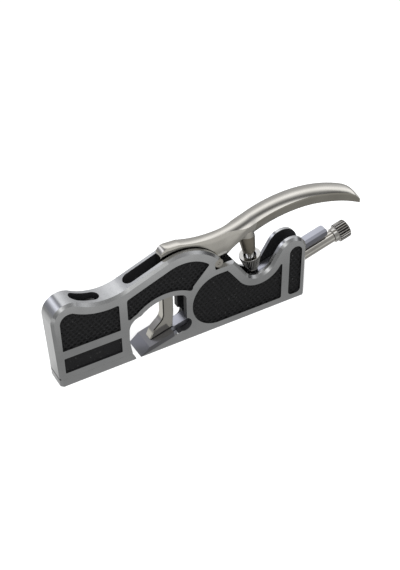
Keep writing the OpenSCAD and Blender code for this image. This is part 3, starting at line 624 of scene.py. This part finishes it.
def thread(place, t0, t1, root, crest, pitch, steps=28):
    """A fine helical ridge round a stud."""
    rings = []
    turns = (t1 - t0) / pitch
    total = int(turns * steps)
    for i in range(total + 1):
        a = 2 * math.pi * i / steps
        t = t0 + pitch * i / steps
        ring = []
        for dt, r in ((-0.45 * pitch, root), (-0.1 * pitch, crest), (0.1 * pitch, crest),
                      (0.45 * pitch, root), (0, root - 0.15)):
            ring.append(place @ Vector((r * math.cos(a), r * math.sin(a), t + dt)))
        rings.append(ring)
    return loft(rings)


stud = make("stud_thread", *thread(SCREW, 16.4, 22.3, 2.45, 2.85, 0.8), CHROME, "lever_screw")


# Recess linings
LINING_LIFT, LINING_INSET = 0.03, 0.04


def lining(name, side, islands, mat):
    """A thin lining over a recess floor and its walls, taken from the body's own faces."""
    bm = bmesh.new()
    bm.from_mesh(NODES["body"].data)
    bmesh.ops.remove_doubles(bm, verts=bm.verts, dist=1e-7)
    floor_y, face_y = RECESS_FLOOR * MM, HALF_W * MM
    tol = 0.01 * MM

    def on(v, level):
        return abs(v.co.y * side - level) < tol

    def keep(f):
        vs = f.verts
        if not all(on(v, floor_y) or on(v, face_y) for v in vs):
            return False
        if not any(on(v, floor_y) for v in vs):
            return False
        c = f.calc_center_median()
        return any(lo[0] * MM < c.x < hi[0] * MM and lo[1] * MM < c.z < hi[1] * MM
                   for lo, hi in islands)

    bmesh.ops.delete(bm, geom=[f for f in bm.faces if not keep(f)], context="FACES")
    bm.normal_update()
    for v in bm.verts:
        v.co += v.normal * LINING_LIFT * MM
        v.co.y = side * min(v.co.y * side, face_y - LINING_INSET * MM)
    mesh = bpy.data.meshes.new(name)
    bm.to_mesh(mesh)
    bm.free()
    obj = bpy.data.objects.new(name, mesh)
    bpy.context.scene.collection.objects.link(obj)
    mesh.materials.append(mat)
    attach(obj, "plane_body")
    return obj


UPPER_NOSE, LOWER_NOSE = ((-101, 27.5), (-52, 70)), ((-101, 9), (-52, 27))
BEHIND_NOSE = ((-51, 2), (101, 70))
for side, word in ((-1, "near"), (1, "far")):
    lining("recess_lining_" + word, side, [UPPER_NOSE, BEHIND_NOSE], RECESS)
    lining("lower_nose_lining_" + word, side, [LOWER_NOSE], RECESS_PLAIN)


# Studio
FLOOR_FRONT, FLOOR_DIM, FLOOR_NEAR, FLOOR_FAR = (0.68,) * 3, (0.36,) * 3, (0.78,) * 3, (0.40,) * 3


def floor_material():
    """Pale floor: even and with shadows for the camera, banded by depth for mirror rays."""
    t = material("pale_floor")
    camera_ray, mirrored = t.paths()
    band = t.ramp(t.math("ADD", t.xyz()[1], 0.5),
                  [(0.0, FLOOR_FRONT), (0.38, FLOOR_FRONT), (0.45, FLOOR_DIM), (0.488, FLOOR_DIM),
                   (0.52, FLOOR_NEAR), (0.60, FLOOR_NEAR), (0.72, FLOOR_FAR), (1.0, FLOOR_FAR)])
    pale = t.math("MULTIPLY", t.math("SUBTRACT", 1.0, mirrored), 0.42)
    shade = t.add("ShaderNodeBsdfDiffuse", Color=t.add("ShaderNodeCombineXYZ", X=pale, Y=pale, Z=pale))
    glow = t.add("ShaderNodeEmission", Color=t.mix(mirrored, (1, 1, 1, 1), band),
                 Strength=t.math("MAXIMUM", mirrored, t.math("MULTIPLY", camera_ray, 0.66)))
    return t.finish(t.add("ShaderNodeAddShader", i0=shade, i1=glow))


bm = bmesh.new()
bmesh.ops.create_circle(bm, cap_ends=True, segments=96, radius=3.0)
floor_mesh = bpy.data.meshes.new("floor")
bm.to_mesh(floor_mesh)
bm.free()
floor = bpy.data.objects.new("floor", floor_mesh)
floor.location = (0, 0, -0.0002)
bpy.context.scene.collection.objects.link(floor)
floor_mesh.materials.append(floor_material())

# The world is white for the camera and even for what lights by diffuse rays. Mirror rays see soft
# boxes and dark cards: one row on the left, one in front, and strips that run over the right.
LEFT_CARDS = (
    (0, 0.45), (60, 1.1), (76, 0.40), (112, 0.32), (121, 0.9), (131, 1.7), (142, 1.2), (156, 0.45),
    (180, 0.34))  # degrees up from the heel over the top to the toe, brightness
FRONT_CARDS = (
    (0, 0.25), (19, 0.5), (40, 0.36), (72, 0.34), (94, 0.55), (112, 1.2), (122, 1.5), (134, 0.7),
    (150, 0.35), (180, 0.22))
STRIP_LOW, STRIP_HIGH, STRIP_SLANT = -0.6, 1.1, 0.38
STRIPS = (
    (-0.6, 0.3), (-0.52, 0.6), (-0.44, 1.5), (-0.2, 1.4), (-0.12, 1.0), (-0.04, 0.42), (0.04, 0.22),
    (0.14, 0.18), (0.22, 0.26), (0.32, 0.5), (0.45, 1.0), (0.53, 1.35), (0.64, 1.5), (0.74, 1.3),
    (0.84, 0.9), (0.93, 0.66), (1.02, 0.55), (1.1, 0.5))  # depth, brightness
LEFT_TINT, FRONT_TINT, STRIP_TINT = (0.955, 0.97, 1.07), (1.0, 1.0, 1.0), (0.985, 0.99, 1.02)
WHITE = (1, 1, 1, 1)


def cards(w, value, stops, low, high, tint):
    """Brightness against one measure of direction that runs from low to high."""
    return w.ramp(value, [((place - low) / (high - low), tuple(v * c for c in tint))
                          for place, v in stops])


def soft_step(w, value, low, high):
    return w.add("ShaderNodeMapRange", props={"interpolation_type": "SMOOTHSTEP"}, Value=value,
                 From_Min=low, From_Max=high)


def studio():
    world = bpy.data.worlds.new("studio")
    bpy.context.scene.world = world
    w = Tree(world, "ShaderNodeOutputWorld", "Generated")
    camera_ray, mirrored = w.paths()
    x, y, z = w.xyz()
    turn = w.math("DIVIDE", w.math("ARCTAN2", z, x), math.pi)
    depth = w.math("ADD", y, w.math("MULTIPLY", x, STRIP_SLANT))
    depth = w.math("DIVIDE", w.math("SUBTRACT", depth, STRIP_LOW), STRIP_HIGH - STRIP_LOW)
    left = cards(w, turn, LEFT_CARDS, 0, 180, LEFT_TINT)
    front = cards(w, turn, FRONT_CARDS, 0, 180, FRONT_TINT)
    strips = cards(w, depth, STRIPS, STRIP_LOW, STRIP_HIGH, STRIP_TINT)
    level = w.math("ADD", 0.45, w.math("MULTIPLY", soft_step(w, z, 0.45, 0.72), 0.55))
    level = w.math("MAXIMUM", level, soft_step(w, y, -0.05, 0.15))
    level = w.math("MAXIMUM", level, soft_step(w, w.math("MULTIPLY", y, -1.0), 0.3, 0.4))
    strips = w.add("ShaderNodeVectorMath", props={"operation": "SCALE"}, i0=strips, Scale=level)
    seen = w.mix(soft_step(w, y, -0.58, -0.38), front,
                 w.mix(soft_step(w, x, -0.25, -0.05), left, strips))
    seen = w.add("ShaderNodeBackground", Color=seen)
    even = w.add("ShaderNodeBackground", Color=WHITE, Strength=0.62)
    white = w.add("ShaderNodeBackground", Color=WHITE, Strength=1.0)
    lit = w.add("ShaderNodeMixShader", i0=mirrored, i1=even, i2=seen)
    w.finish(w.add("ShaderNodeMixShader", i0=camera_ray, i1=lit, i2=white))


studio()


def lamp(name, where, aim, size, power, color=(1, 1, 1)):
    data = bpy.data.lights.new(name, "AREA")
    data.shape = "RECTANGLE"
    data.size, data.size_y = size
    data.energy = power
    data.color = color
    obj = bpy.data.objects.new(name, data)
    obj.location = where
    obj.rotation_euler = (Vector(aim) - Vector(where)).to_track_quat("-Z", "Y").to_euler()
    obj.visible_glossy = False
    bpy.context.scene.collection.objects.link(obj)
    return obj


# mirror rays see the world's cards, not the lamps
lamp("top_softbox", (0.10, -0.12, 0.75), (0.02, 0, 0.04), (0.9, 0.22), 7.0, (0.97, 0.98, 1.0))
lamp("left_softbox", (-0.75, -0.35, 0.55), (0, 0, 0.04), (0.5, 0.5), 4.0)

# Camera, fitted to the photograph
AZ, EL, ROLL = math.radians(-29.364), math.radians(38.802), math.radians(-0.828)
DIST, SHIFT_X, SHIFT_Y, FOCAL_PX = 797.9, 12.819, 34.459, 1067.1
SENSOR, PHOTO_HEIGHT = 36.0, 570.0  # mm, pixels
back = Vector((math.sin(AZ) * math.cos(EL), -math.cos(AZ) * math.cos(EL), math.sin(EL)))
right = Vector((0, 0, 1)).cross(back).normalized()
up = back.cross(right)
cam_x = math.cos(ROLL) * right + math.sin(ROLL) * up
cam_y = -math.sin(ROLL) * right + math.cos(ROLL) * up
cam_data = bpy.data.cameras.new("camera")
cam_data.sensor_width = SENSOR
cam_data.lens = FOCAL_PX * SENSOR / PHOTO_HEIGHT
cam_data.clip_start, cam_data.clip_end = 0.05, 20.0
camera = bpy.data.objects.new("camera", cam_data)
place = Matrix((cam_x, cam_y, back)).transposed().to_4x4()
place.translation = (back * DIST + cam_x * SHIFT_X + cam_y * SHIFT_Y) * MM
camera.matrix_world = place
bpy.context.scene.collection.objects.link(camera)
bpy.context.scene.camera = camera

bpy.context.scene.view_settings.view_transform = "Standard"
